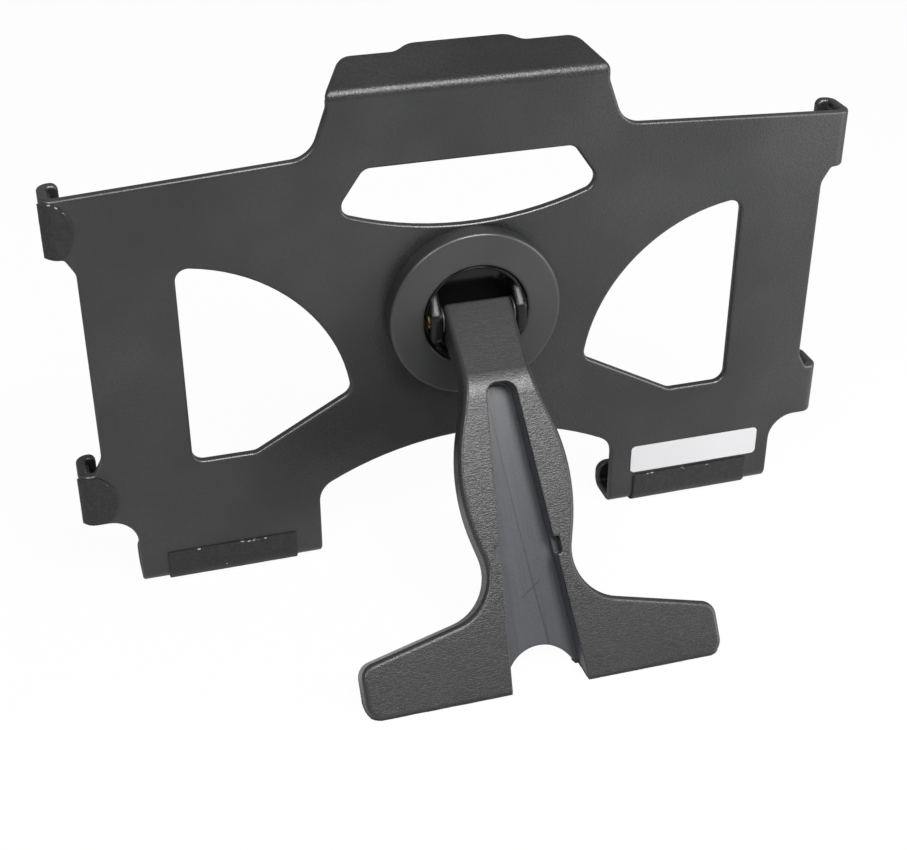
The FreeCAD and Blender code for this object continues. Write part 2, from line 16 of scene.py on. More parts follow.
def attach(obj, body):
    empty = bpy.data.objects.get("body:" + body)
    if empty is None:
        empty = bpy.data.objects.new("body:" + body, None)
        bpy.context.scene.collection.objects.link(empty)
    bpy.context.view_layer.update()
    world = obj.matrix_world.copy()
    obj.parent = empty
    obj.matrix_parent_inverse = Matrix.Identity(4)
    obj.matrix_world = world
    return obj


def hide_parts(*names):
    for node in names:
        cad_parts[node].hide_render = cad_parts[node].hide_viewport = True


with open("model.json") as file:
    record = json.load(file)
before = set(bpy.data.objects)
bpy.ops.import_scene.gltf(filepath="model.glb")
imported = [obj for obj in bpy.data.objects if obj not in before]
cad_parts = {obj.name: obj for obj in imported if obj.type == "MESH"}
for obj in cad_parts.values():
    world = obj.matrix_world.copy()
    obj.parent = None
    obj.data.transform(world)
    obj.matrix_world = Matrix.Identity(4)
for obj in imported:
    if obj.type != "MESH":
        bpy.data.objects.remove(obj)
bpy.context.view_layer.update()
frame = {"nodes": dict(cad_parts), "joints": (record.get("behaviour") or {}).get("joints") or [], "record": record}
nodes = frame["nodes"]
joints = {joint["name"]: joint for joint in frame["joints"]}
mm = 0.001

# %% [markdown]
# ## Camera
# The picture is taken from the leg's side, from a little to the left and well above. A camera can be
# aimed with a constraint, but two angles and a place say the same thing in plain numbers. The lens is
# given on Blender's usual 36 mm sensor, which lies along the picture's long side.

# %% Camera
camera_place = Vector((-138.1, -412.54, 334.37)) * mm
camera_turn = math.radians(16.47)
camera_drop = math.radians(31.72)
camera_lens = 64.04
camera_sensor = 36.0

camera = bpy.data.objects.new("camera", bpy.data.cameras.new("camera"))
camera.data.lens = camera_lens
camera.data.sensor_width = camera_sensor
camera.location = camera_place
camera.rotation_euler = (math.pi / 2 - camera_drop, 0.0, -camera_turn)
bpy.context.scene.collection.objects.link(camera)
bpy.context.scene.camera = camera
bpy.context.scene.view_settings.view_transform = "Standard"
print("camera", round(camera_place.length, 3), "m from the point on the table under the holder")

# %% [markdown]
# ## Helpers for shader nodes
# Every finish below is a small tree of nodes. Written out in full, each node takes a line to make it,
# one per setting and one per link. The first helper does all three: a socket that is given as an
# input is linked, and anything else is set as the input's own value. The others are the few sums that
# come up again and again, each of which gives back the socket with its result.


# %% Node helper
def put(tree, kind, inputs=None, **options):
    """Adds a node; inputs are named or numbered, and an input given as a socket is linked."""
    node = tree.nodes.new(kind)
    for name, value in options.items():
        setattr(node, name, value)
    for name, value in (inputs or {}).items():
        if isinstance(value, bpy.types.NodeSocket):
            tree.links.new(value, node.inputs[name])
        else:
            node.inputs[name].default_value = value
    return node


print("node helper ready")


# %% Sums on sockets
def calculate(tree, operation, first, second=0.0):
    """One sum of two values, or of one."""
    return put(tree, "ShaderNodeMath", {0: first, 1: second}, operation=operation).outputs[0]


def times(tree, first, second):
    """The product of two values, such as two masks."""
    return calculate(tree, "MULTIPLY", first, second)


def gap(tree, first, second):
    """How far two values lie apart, whichever is larger."""
    return calculate(tree, "ABSOLUTE", calculate(tree, "SUBTRACT", first, second))


def spread(tree, value, low, high, to_low=0.0, to_high=1.0, ends="SMOOTHSTEP"):
    """Maps a value's stretch from low to high on to another one, with soft ends unless told."""
    stretches = {"Value": value, "From Min": low, "From Max": high, "To Min": to_low, "To Max": to_high}
    return put(tree, "ShaderNodeMapRange", stretches, interpolation_type=ends).outputs[0]


def split(tree, vector):
    """The three parts of a vector, as X, Y and Z."""
    return put(tree, "ShaderNodeSeparateXYZ", {0: vector}).outputs


def stretch(tree, vector, shares):
    """A vector times three numbers; a pattern on it is longer where the number is small."""
    return put(tree, "ShaderNodeVectorMath", {0: vector, 1: shares}, operation="MULTIPLY").outputs[0]


def tint(tree, share, first, second):
    """Mixes two colours; each is a socket or three numbers."""
    ends = {0: share}
    for slot, colour in ((6, first), (7, second)):
        ends[slot] = colour if isinstance(colour, bpy.types.NodeSocket) else (*colour, 1.0)
    return put(tree, "ShaderNodeMix", ends, data_type="RGBA").outputs[2]


print("sums ready")

# %% [markdown]
# ## Floor, backdrop and light
# The holder stands on white. A white floor that is only lit never comes out quite white, so most of
# what the camera sees of it is glow, and the rest is a lit surface that still takes the shadow. Black
# plastic is drawn by what it mirrors, so the world has one strength for the camera, one for mirrored
# rays and one for the light it gives. The main softbox hangs high on the leg's side: where a rounded
# edge or the leg's bend faces half way between it and the camera, the plastic shines. A smaller one
# close by on the right makes the sheet brighter towards that side, and one on the left draws the
# upper edge of the ring and the left edge of the leg.


# %% World
white = (1.0, 1.0, 1.0, 1.0)
world_seen = 1.0
world_shine = 0.35
world_fill = 0.15


def by_ray(tree, to_camera, to_mirror, to_rest):
    """A strength that differs for rays from the camera, for mirrored rays and for all others."""
    path = put(tree, "ShaderNodeLightPath").outputs
    sight = times(tree, path["Is Camera Ray"], to_camera - to_rest)
    shine = times(tree, path["Is Glossy Ray"], to_mirror - to_rest)
    return calculate(tree, "ADD", calculate(tree, "ADD", sight, shine), to_rest)


world = bpy.data.worlds.new("white_room")
bpy.context.scene.world = world
world.use_nodes = True
sky = world.node_tree
sky.nodes.clear()
sky_strength = by_ray(sky, world_seen, world_shine, world_fill)
room = put(sky, "ShaderNodeBackground", {"Color": white, "Strength": sky_strength})
put(sky, "ShaderNodeOutputWorld", {"Surface": room.outputs[0]})
print("world fills at", world_fill, "and shines at", world_shine)

# %% Floor
floor_half = 4.0
floor_white = (0.78, 0.78, 0.78)
floor_glow = 0.97

shape = bmesh.new()
bmesh.ops.create_grid(shape, x_segments=1, y_segments=1, size=floor_half)
floor_mesh = bpy.data.meshes.new("floor")
shape.to_mesh(floor_mesh)
shape.free()
floor = bpy.data.objects.new("floor", floor_mesh)
bpy.context.scene.collection.objects.link(floor)
paper = bpy.data.materials.new("white_paper")
paper.use_nodes = True
tree = paper.node_tree
tree.nodes.clear()
diffuse = put(tree, "ShaderNodeBsdfDiffuse", {"Color": (*floor_white, 1.0)})
glow = put(tree, "ShaderNodeEmission", {"Color": white, "Strength": 1.0})
glow_share = by_ray(tree, floor_glow, 0.0, 0.0)
paper_mix = put(tree, "ShaderNodeMixShader", {0: glow_share, 1: diffuse.outputs[0], 2: glow.outputs[0]})
put(tree, "ShaderNodeOutputMaterial", {"Surface": paper_mix.outputs[0]})
floor_mesh.materials.append(paper)
print("floor", 2 * floor_half, "m wide")

# %% Lamps
light_aim = Vector((0.0, 0.0, 90.0)) * mm


def softbox(name, turn, rise, distance, width, height, radiance):
    """A rectangular lamp aimed at the holder; turn is to the right of the leg's side, in degrees."""
    lamp = bpy.data.lights.new(name, "AREA")
    lamp.shape = "RECTANGLE"
    lamp.size = width
    lamp.size_y = height
    lamp.energy = radiance * math.pi * width * height
    box = bpy.data.objects.new(name, lamp)
    across = math.cos(math.radians(rise)) * distance
    offset = Vector((
        across * math.sin(math.radians(turn)),
        -across * math.cos(math.radians(turn)),
        distance * math.sin(math.radians(rise)),
    ))
    box.location = light_aim + offset
    box.rotation_euler = offset.to_track_quat("Z", "Y").to_euler()
    bpy.context.scene.collection.objects.link(box)
    print(name, "gives", round(lamp.energy, 2), "W")


softbox("key_softbox", turn=20, rise=52, distance=1.1, width=0.5, height=0.44, radiance=17.0)
softbox("right_softbox", turn=62, rise=10, distance=0.45, width=0.3, height=0.3, radiance=3.3)
softbox("left_softbox", turn=-42, rise=42, distance=1.1, width=0.36, height=0.3, radiance=12.0)

# %% [markdown]
# ## Shared effects
# Several finishes show the same things at other sizes: moulded grain, rubbed edges, lint. Each is a
# node group that is built once and used in each material with its own values. A group gives only
# masks and heights. The shader itself stays in the material, where its gloss can be set plainly.

# %% Group helper
vector_socket = "NodeSocketVector"
number_socket = "NodeSocketFloat"
pattern_inputs = {"Vector": vector_socket, "Scale": number_socket}


def new_group(name, inputs, outputs):
    """An empty shader group, its input sockets by name and its output sockets by name."""
    group = bpy.data.node_groups.new(name, "ShaderNodeTree")
    for socket, kind in inputs.items():
        group.interface.new_socket(socket, in_out="INPUT", socket_type=kind)
    for socket in outputs:
        group.interface.new_socket(socket, in_out="OUTPUT", socket_type=number_socket)
    return group, group.nodes.new("NodeGroupInput").outputs, group.nodes.new("NodeGroupOutput").inputs


print("group helper ready")

# %% [markdown]
# ### Fine moulded grain
# The plastics have small bumps with pits between them, and slow clouds where they are a little
# smoother. One noise could do for the bumps, but cells from a Voronoi pattern give the pits their
# even size, and a far larger noise gives the clouds.

# %% Fine moulded grain
pit_span = (0.1, 0.7)
pit_share = 0.4
cloud_size = 0.012

fine_grain, given, out = new_group("fine_grain", pattern_inputs, ("Height", "Cloud"))
fine = put(fine_grain, "ShaderNodeTexNoise", {
    "Vector": given["Vector"], "Scale": given["Scale"], "Detail": 2.0, "Roughness": 0.6})
pits = put(fine_grain, "ShaderNodeTexVoronoi", {"Vector": given["Vector"], "Scale": given["Scale"]})
pit_height = times(fine_grain, spread(fine_grain, pits.outputs["Distance"], *pit_span), pit_share)
fine_grain.links.new(calculate(fine_grain, "ADD", pit_height, fine.outputs["Fac"]), out["Height"])
cloud_scale = times(fine_grain, given["Scale"], cloud_size)
cloud = put(fine_grain, "ShaderNodeTexNoise", {
    "Vector": given["Vector"], "Scale": cloud_scale, "Detail": 3.0, "Roughness": 0.55})
fine_grain.links.new(cloud.outputs["Fac"], out["Cloud"])
print("group", fine_grain.name)

# %% [markdown]
# ### Leather grain
# The leg is moulded with a grain like leather: soft swells with narrow creases between them. A noise
# passes through its own middle along winding lines, so the distance from the middle draws such
# creases without a picture of leather.

# %% Leather grain
noise_middle = 0.5
crease_width = 0.10

leather_grain, given, out = new_group("leather_grain", pattern_inputs, ("Height", "Crease"))
wrinkle = put(leather_grain, "ShaderNodeTexNoise", {
    "Vector": given["Vector"], "Scale": given["Scale"], "Detail": 2.0, "Roughness": 0.5, "Distortion": 0.2})
from_crease = gap(leather_grain, wrinkle.outputs["Fac"], noise_middle)
swell = spread(leather_grain, from_crease, 0.0, crease_width)
height = calculate(leather_grain, "ADD", swell, wrinkle.outputs["Fac"])
leather_grain.links.new(height, out["Height"])
leather_grain.links.new(calculate(leather_grain, "SUBTRACT", 1.0, swell), out["Crease"])
print("group", leather_grain.name)

# %% [markdown]
# ### Rubbed edges, with painted highlights on them
# Hands and tablets rub the edges paler. On the sheet and the ring this mask also carries a painted
# highlight: paler colour along the edges. Edge wear can be painted, but the Bevel node finds the edges
# by itself: it gives the normal of a softened surface, and where that turns away from the true normal
# there is an edge. A noise breaks the wear into patches.

# %% Rubbed edges and painted edge highlights
edge_turn = (0.99, 0.86)
patch_scale = 260.0
patch_span = (0.35, 0.65)
patch_least = 0.25

rubbed_edge, given, out = new_group(
    "rubbed_edge", {"Vector": vector_socket, "Radius": number_socket}, ("Mask",))
soft = put(rubbed_edge, "ShaderNodeBevel", {"Radius": given["Radius"]}, samples=4)
flat = put(rubbed_edge, "ShaderNodeNewGeometry")
turned = put(rubbed_edge, "ShaderNodeVectorMath", {
    0: soft.outputs[0], 1: flat.outputs["Normal"]}, operation="DOT_PRODUCT")
edge = spread(rubbed_edge, turned.outputs["Value"], *edge_turn)
patchy = put(rubbed_edge, "ShaderNodeTexNoise", {
    "Vector": given["Vector"], "Scale": patch_scale, "Detail": 3.0})
patches = spread(rubbed_edge, patchy.outputs["Fac"], *patch_span, patch_least, 1.0)
rubbed_edge.links.new(times(rubbed_edge, edge, patches), out["Mask"])
print("group", rubbed_edge.name)

# %% [markdown]
# ### Polished edges
# The rounded edges of the sheet and the ring are smoother than their faces, and those that face up
# draw a bright line. The solids have these rounds, so the direction of a face is enough to find them:
# it points neither straight out, as the flat faces do, nor along the sheet, as the cut sides do.

# %% Polished edges
side_facing = (0.15, 0.4)
flat_facing = (0.98, 0.88)
up_facing = (0.05, 0.45)

polished_edge, given, out = new_group("polished_edge", {"Normal": vector_socket}, ("Mask",))
facing = split(polished_edge, given["Normal"])
outward = calculate(polished_edge, "ABSOLUTE", facing["Y"])
off_sides = spread(polished_edge, outward, *side_facing)
off_face = spread(polished_edge, outward, *flat_facing)
upward = times(polished_edge, off_face, spread(polished_edge, facing["Z"], *up_facing))
polished_edge.links.new(times(polished_edge, off_sides, upward), out["Mask"])
print("group", polished_edge.name)

# %% [markdown]
# ### Lint
# Black felt and plastic always hold some pale lint. Scattered specks could be small meshes, but a
# Voronoi pattern has one point per cell and a random colour to pick cells by, which is all that
# specks of this size need.

# %% Lint specks
lint_specks, given, out = new_group(
    "lint_specks", {**pattern_inputs, "Size": number_socket, "Share": number_socket}, ("Mask",))
dots = put(lint_specks, "ShaderNodeTexVoronoi", {"Vector": given["Vector"], "Scale": given["Scale"]})
near = calculate(lint_specks, "LESS_THAN", dots.outputs["Distance"], given["Size"])
pick = put(lint_specks, "ShaderNodeSeparateColor", {0: dots.outputs["Color"]})
chosen = calculate(lint_specks, "LESS_THAN", pick.outputs[0], given["Share"])
lint_specks.links.new(times(lint_specks, near, chosen), out["Mask"])
print("group", lint_specks.name)

# %% [markdown]
# ### Felt pile
# Felt is a tangle of short fibres that lie every way. Hair could draw each one, at a great cost for
# fibres this fine. Three noises, each drawn out along another direction, cross like fibres when the
# highest of them is kept.

# %% Felt pile
fibre_lies = ((1.0, 0.16, 0.5), (0.18, 1.0, 0.6), (0.5, 0.6, 0.15))
shade_span = (0.42, 0.72)

felt_pile, given, out = new_group("felt_pile", pattern_inputs, ("Height", "Shade"))
layers = []
for lie in fibre_lies:
    fibre = put(felt_pile, "ShaderNodeTexNoise", {
        "Vector": stretch(felt_pile, given["Vector"], lie),
        "Scale": given["Scale"], "Detail": 3.0, "Distortion": 0.6})
    layers.append(fibre.outputs["Fac"])
first_two = calculate(felt_pile, "MAXIMUM", layers[0], layers[1])
tangle = calculate(felt_pile, "MAXIMUM", first_two, layers[2])
felt_pile.links.new(tangle, out["Height"])
felt_pile.links.new(spread(felt_pile, tangle, *shade_span), out["Shade"])
print("group", felt_pile.name)

# %% [markdown]
# ## Finishes
# Each finish is a Principled BSDF with its own short function. The plain numbers that hold all over,
# such as the gloss of a coat, sit on the shader's own sockets. Only what changes over the surface
# comes through nodes: colour, roughness, the coat on polished edges and the height for the bump. The
# bump lies over a Bevel node's normal, so that sharp edges of the solids catch the light as rounds.

# %% Material helpers
cloud_span = (0.3, 0.7)
grain_span = (0.3, 1.0)
finishes = {}


def new_finish(name, **plain):
    """A material with one Principled BSDF, its Object coordinates, and plain values set on it."""
    material = bpy.data.materials.new(name)
    material.use_nodes = True
    tree = material.node_tree
    tree.nodes.clear()
    values = {key.replace("_", " "): value for key, value in plain.items()}
    shader = put(tree, "ShaderNodeBsdfPrincipled", values)
    put(tree, "ShaderNodeOutputMaterial", {"Surface": shader.outputs[0]})
    place = put(tree, "ShaderNodeTexCoord").outputs["Object"]
    return material, tree, shader.inputs, place


def effect(tree, group, **values):
    """Places a shared effect in a material and gives its outputs."""
    return put(tree, "ShaderNodeGroup", values, node_tree=group).outputs


def find_polish(tree):
    """The mask of the polished edges, from the piece's own normals."""
    normal = put(tree, "ShaderNodeTexCoord").outputs["Normal"]
    return effect(tree, polished_edge, Normal=normal)["Mask"]


def raise_bump(tree, shader, height, strength, distance, rounding):
    """Feeds a height to the shader's normal, over edges that are shaded as if rounded."""
    rounded = put(tree, "ShaderNodeBevel", {"Radius": rounding}, samples=8).outputs[0]
    bump = put(tree, "ShaderNodeBump", {
        "Height": height, "Strength": strength, "Distance": distance, "Normal": rounded})
    tree.links.new(bump.outputs[0], shader["Normal"])


print("material helpers ready")

# %% [markdown]
# ### Sheet
# The real sheet is black plastic with a fine, slightly cloudy grain and a few specks of lint. Its
# edges are paler, partly with wear and partly with a painted highlight. An even black would look like
# a hole in the picture, so two near blacks are mixed by the clouds, and the pits are darkened as
# painted shade. The bend of the flange is smooth as well, but it already shines there, so the polish
# stops below it.

# %% Sheet plastic
sheet_black = (0.011, 0.0114, 0.0118)
sheet_grey = (0.029, 0.0295, 0.030)
sheet_pit_shade = (0.012, 0.012, 0.012)
sheet_pit_span = (0.35, 1.0)
sheet_pit_shade_share = 0.5
sheet_wear_and_highlight = (0.18, 0.18, 0.18)
sheet_wear_highlight_share = 0.5
sheet_rub_gloss = 0.14
sheet_roughness = (0.28, 0.38)
sheet_polish = 0.5
sheet_lint = (0.62, 0.62, 0.6)
flange_bend = 161.0 * mm
flange_fade = 4.0 * mm


def make_sheet_plastic():
    """The folded sheet: black plastic with a fine grain, painted shade in its pits, and paler edges with wear and
    a painted highlight.
    """
    material, tree, shader, place = new_finish(
        "sheet_plastic", Specular_IOR_Level=0.5, Coat_Roughness=0.3, Coat_IOR=2.0)
    height = split(tree, place)["Z"]
    below_flange = spread(tree, height, flange_bend, flange_bend - flange_fade, 0.0, sheet_polish)
    tree.links.new(times(tree, find_polish(tree), below_flange), shader["Coat Weight"])
    grain = effect(tree, fine_grain, Vector=place, Scale=1300.0)
    wear = effect(tree, rubbed_edge, Vector=place, Radius=1.0 * mm)["Mask"]
    lint = effect(tree, lint_specks, Vector=place, Scale=42.0, Size=0.010, Share=0.12)["Mask"]
    cloudy = tint(tree, spread(tree, grain["Cloud"], *cloud_span), sheet_black, sheet_grey)
    # The pits are darkened as painted shade.
    pit_shade = spread(tree, grain["Height"], *sheet_pit_span, sheet_pit_shade_share, 0.0)
    plain = tint(tree, pit_shade, cloudy, sheet_pit_shade)
    # Paler edges: partly wear, partly a painted highlight.
    rubbed = tint(tree, times(tree, wear, sheet_wear_highlight_share), plain, sheet_wear_and_highlight)
    tree.links.new(tint(tree, lint, rubbed, sheet_lint), shader["Base Color"])
    dull = spread(tree, grain["Height"], *grain_span, *sheet_roughness)
    gloss = times(tree, wear, sheet_rub_gloss)
    tree.links.new(calculate(tree, "SUBTRACT", dull, gloss), shader["Roughness"])
    raise_bump(tree, shader, grain["Height"], strength=0.5, distance=0.12 * mm, rounding=1.1 * mm)
    return material


finishes["sheet_plastic"] = make_sheet_plastic()
print("finish", finishes["sheet_plastic"].name)

# %% [markdown]
# ### Ring
# The ring is moulded smoother than the sheet, so its grain is finer and its bump lower. The same
# effects serve it with smaller values, which keeps the two plastics alike under any light. Its paler
# edge is partly wear and partly a painted highlight.

# %% Ring plastic
ring_black = (0.022, 0.0225, 0.023)
ring_grey = (0.030, 0.0305, 0.031)
ring_wear_and_highlight = (0.16, 0.16, 0.16)
ring_wear_highlight_share = 0.5
ring_rub_gloss = 0.12
ring_roughness = (0.28, 0.40)
ring_polish = 0.3


def make_ring_plastic():
    """The swivel ring: smooth satin plastic with an edge made paler by wear and a painted highlight."""
    material, tree, shader, place = new_finish(
        "ring_plastic", Specular_IOR_Level=0.5, Coat_Roughness=0.3, Coat_IOR=2.0)
    tree.links.new(times(tree, find_polish(tree), ring_polish), shader["Coat Weight"])
    grain = effect(tree, fine_grain, Vector=place, Scale=2600.0)
    wear = effect(tree, rubbed_edge, Vector=place, Radius=1.2 * mm)["Mask"]
    plain = tint(tree, spread(tree, grain["Cloud"], *cloud_span), ring_black, ring_grey)
    # Paler edge: partly wear, partly a painted highlight.
    rubbed = tint(tree, times(tree, wear, ring_wear_highlight_share), plain, ring_wear_and_highlight)
    tree.links.new(rubbed, shader["Base Color"])
    dull = spread(tree, grain["Height"], *grain_span, *ring_roughness)
    gloss = times(tree, wear, ring_rub_gloss)
    tree.links.new(calculate(tree, "SUBTRACT", dull, gloss), shader["Roughness"])
    raise_bump(tree, shader, grain["Height"], strength=0.16, distance=0.06 * mm, rounding=1.4 * mm)
    return material


finishes["ring_plastic"] = make_ring_plastic()
print("finish", finishes["ring_plastic"].name)

# %% [markdown]
# ### Hub
# The hub and its ears are polished, and show mostly what they mirror. A low roughness that wanders
# with slow clouds looks handled, where one even value would look like glass.

# %% Hub plastic
hub_black = (0.005, 0.005, 0.0055)
hub_rubbed = (0.03, 0.03, 0.03)
hub_smear_span = (0.3, 0.75)
hub_roughness = (0.12, 0.22)


def make_hub_plastic():
    """The hub and its ears: polished black, a little paler on rubbed edges."""
    material, tree, shader, place = new_finish("hub_plastic", Specular_IOR_Level=0.25)
    grain = effect(tree, fine_grain, Vector=place, Scale=900.0)
    wear = effect(tree, rubbed_edge, Vector=place, Radius=0.4 * mm)["Mask"]
    tree.links.new(tint(tree, wear, hub_black, hub_rubbed), shader["Base Color"])
    smeared = spread(tree, grain["Cloud"], *hub_smear_span, *hub_roughness)
    tree.links.new(smeared, shader["Roughness"])
    raise_bump(tree, shader, grain["Height"], strength=0.03, distance=0.05 * mm, rounding=2.2 * mm)
    return material


finishes["hub_plastic"] = make_hub_plastic()
print("finish", finishes["hub_plastic"].name)

# %% [markdown]
# ### Leg
# The leg has leather grain on its outer face, less of it on the tongue and towards the foot, with
# painted shade darkening its creases, and a smooth, bluish channel. One material could be given to
# each face, but the solid is one mesh of loose triangles. So the material finds its own places: Object
# coordinates are turned to lie along the leg, and then the depth of the face and the width of the
# channel are plain comparisons.

# %% Places on the leg
leg_tilt = math.radians(35.4)
leg_face_out = 15.2 * mm
face_fade = (-leg_face_out + 1.6 * mm, -leg_face_out + 0.5 * mm)
tongue_fade = (30.0 * mm, 13.0 * mm)
tongue_grain = 0.45
foot_fade = (75.0 * mm, 105.0 * mm)
foot_grain = 0.55
channel_slope = 0.105
channel_start = 2.2 * mm
channel_top = (22.0 * mm, 23.0 * mm)


def find_on_leg(tree, place):
    """Coordinates along the leg, sideways and down it, and masks of its grain and its channel."""
    pivot = joints["leg_fold"]["pos_m"]
    lie = {"Vector": place, "Location": pivot, "Rotation": (-leg_tilt, 0.0, 0.0)}
    folded = put(tree, "ShaderNodeMapping", lie, vector_type="TEXTURE").outputs[0]
    axes = split(tree, folded)
    down = times(tree, axes["Z"], -1.0)
    on_face = spread(tree, axes["Y"], *face_fade)
    on_tongue = times(tree, spread(tree, down, *tongue_fade), tongue_grain)
    grained = calculate(tree, "MAXIMUM", on_face, on_tongue)
    grained = times(tree, grained, spread(tree, down, *foot_fade, 1.0, foot_grain))
    channel_half = calculate(tree, "ADD", times(tree, down, channel_slope), channel_start)
    from_middle = calculate(tree, "ABSOLUTE", axes["X"])
    between = calculate(tree, "LESS_THAN", from_middle, channel_half)
    in_channel = times(tree, between, calculate(tree, "SUBTRACT", 1.0, on_face))
    in_channel = times(tree, in_channel, spread(tree, down, *channel_top))
    return folded, axes["X"], down, grained, in_channel


print("leg tilted", round(math.degrees(leg_tilt), 1), "degrees")

# %% [markdown]
# ### Marks in the channel
# A faint line runs down the channel's floor, most likely a knit line, where two streams of plastic
# met in the mould. A scratch crosses it. Both are too shallow for geometry, so each is a distance
# from a line, made a narrow band.

# %% Marks in the channel
knit_line = (-4.4 * mm, 0.041, 0.31)
knit_half = 0.45 * mm
scratch_ends = ((-3.6 * mm, 92.7 * mm), (4.6 * mm, 87.2 * mm))
scratch_band = (0.5 * mm, 0.1 * mm)
scratch_taper = 1.0 * mm
scratch_share = 0.8


def mark_channel(tree, side, down, in_channel):
    """A mask of the knit line and the scratch on the channel's floor."""
    offset, slope, curve = knit_line
    lean = calculate(tree, "ADD", times(tree, down, curve), slope)
    line_side = calculate(tree, "ADD", times(tree, down, lean), offset)
    knit = times(tree, spread(tree, gap(tree, side, line_side), knit_half, 0.0), in_channel)
    (start_side, start_down), (end_side, end_down) = scratch_ends
    scratch_down = spread(tree, side, start_side, end_side, start_down, end_down, ends="LINEAR")
    on_scratch = spread(tree, gap(tree, down, scratch_down), *scratch_band)
    scratch_half = (end_side - start_side) / 2
    from_middle = gap(tree, side, (start_side + end_side) / 2)
    within_ends = spread(tree, from_middle, scratch_half, scratch_half - scratch_taper)
    scratch = times(tree, on_scratch, within_ends)
    return calculate(tree, "MAXIMUM", knit, times(tree, scratch, times(tree, in_channel, scratch_share)))


print("scratch from", scratch_ends[0], "to", scratch_ends[1])

# %% Leg plastic
leg_black = (0.024, 0.024, 0.0245)
leg_grey = (0.030, 0.030, 0.0305)
leg_crease_shade = (0.010, 0.010, 0.010)
leg_crease_shade_share = 0.6
leg_rubbed = (0.12, 0.12, 0.12)
leg_rub_share = 0.3
leg_roughness = (0.25, 0.33)
fine_share = 0.15
wrinkle_stretch = (0.32, 1.0, 1.0)
streak_stretch = (1.0, 1.0, 0.04)
streak_span = (0.4, 1.0)
channel_dark = (0.049, 0.051, 0.058)
channel_pale = (0.058, 0.061, 0.069)
channel_marks = (0.030, 0.030, 0.033)


def make_leg_plastic():
    """The leg: wrinkled leather grain with painted shade in its creases on its outer face, smooth and bluish in
    its channel.
    """
    material, tree, shader, place = new_finish("leg_plastic", Specular_IOR_Level=0.5)
    folded, side, down, grained, in_channel = find_on_leg(tree, place)
    marks = mark_channel(tree, side, down, in_channel)
    leather = effect(tree, leather_grain, Vector=stretch(tree, folded, wrinkle_stretch), Scale=1500.0)
    fine = effect(tree, fine_grain, Vector=folded, Scale=2400.0)
    streaks = effect(tree, fine_grain, Vector=stretch(tree, folded, streak_stretch), Scale=900.0)
    wear = effect(tree, rubbed_edge, Vector=place, Radius=0.6 * mm)["Mask"]
    plain = tint(tree, spread(tree, fine["Cloud"], *cloud_span), leg_black, leg_grey)
    # The creases are darkened as painted shade.
    crease_shade = times(tree, leather["Crease"], times(tree, grained, leg_crease_shade_share))
    crease_shaded = tint(tree, crease_shade, plain, leg_crease_shade)
    streaky = tint(tree, spread(tree, streaks["Height"], *streak_span), channel_dark, channel_pale)
    floored = tint(tree, in_channel, crease_shaded, tint(tree, marks, streaky, channel_marks))
    rubbed = tint(tree, times(tree, wear, leg_rub_share), floored, leg_rubbed)
    tree.links.new(rubbed, shader["Base Color"])
    tree.links.new(spread(tree, fine["Height"], *grain_span, *leg_roughness), shader["Roughness"])
    relief = times(tree, leather["Height"], grained)
    relief = calculate(tree, "ADD", relief, times(tree, fine["Height"], fine_share))
    raise_bump(tree, shader, relief, strength=0.17, distance=0.16 * mm, rounding=0.8 * mm)
    return material


finishes["leg_plastic"] = make_leg_plastic()
print("finish", finishes["leg_plastic"].name)

# %% [markdown]
# ### Felt
# The felts are black, dull and even. The pale specks on the cut edges that face up in front of the
# sheet are partly lint and partly painted highlight dots, so they are kept to faces that point up and
# lie on that side. The pads under the foot are the same felt without those specks: their wide
# undersides show when the swivel is turned over, and the specks looked like glitter on them.

# %% Felt
felt_dark = (0.017, 0.017, 0.0172)
felt_pale = (0.023, 0.023, 0.023)
felt_lint_and_highlight = (0.34, 0.34, 0.33)
felt_roughness = (0.85, 0.7)
lint_and_highlight_facing = (0.3, 0.6)
sheet_front = joints["swivel_turn"]["pos_m"][1]
front_fade = 0.5 * mm


def make_felt(name, lint_and_highlight_share):
    """Short black felt: dull and even, with a share of pale specks on its cut upper edges, partly lint and partly
    painted highlight dots.
    """
    material, tree, shader, place = new_finish(
        name, Specular_IOR_Level=0.25, Sheen_Weight=0.12, Sheen_Roughness=0.5)
    pile = effect(tree, felt_pile, Vector=place, Scale=1800.0)
    facing = split(tree, put(tree, "ShaderNodeNewGeometry").outputs["Normal"])["Z"]
    in_front = spread(tree, split(tree, place)["Y"], sheet_front + front_fade, sheet_front)
    # Specks on upward faces in front of the sheet: partly lint, partly painted highlight dots.
    upper = times(tree, spread(tree, facing, *lint_and_highlight_facing), in_front)
    specks = effect(tree, lint_specks, Vector=place, Scale=520.0, Size=0.38, Share=lint_and_highlight_share)["Mask"]
    stray = effect(tree, lint_specks, Vector=place, Scale=150.0, Size=0.035, Share=0.05)["Mask"]
    lint = calculate(tree, "MAXIMUM", times(tree, upper, specks), stray)
    nap = tint(tree, pile["Shade"], felt_dark, felt_pale)
    tree.links.new(tint(tree, lint, nap, felt_lint_and_highlight), shader["Base Color"])
    tree.links.new(spread(tree, pile["Shade"], 0.0, 1.0, *felt_roughness), shader["Roughness"])
    raise_bump(tree, shader, pile["Height"], strength=0.16, distance=0.10 * mm, rounding=0.3 * mm)
    return material


finishes["felt"] = make_felt("felt", lint_and_highlight_share=0.5)
finishes["pad_rubber"] = make_felt("pad_felt", lint_and_highlight_share=0.0)
print("finishes", finishes["felt"].name, "and", finishes["pad_rubber"].name)

# %% [markdown]
# ### Label
# The label is a bare piece of white film. It is kept well below full white, so that the light on it
# does not wash out its edges.

# %% Label film
film_dark = (0.56, 0.56, 0.57)
film_pale = (0.60, 0.60, 0.615)
film_roughness = (0.38, 0.5)


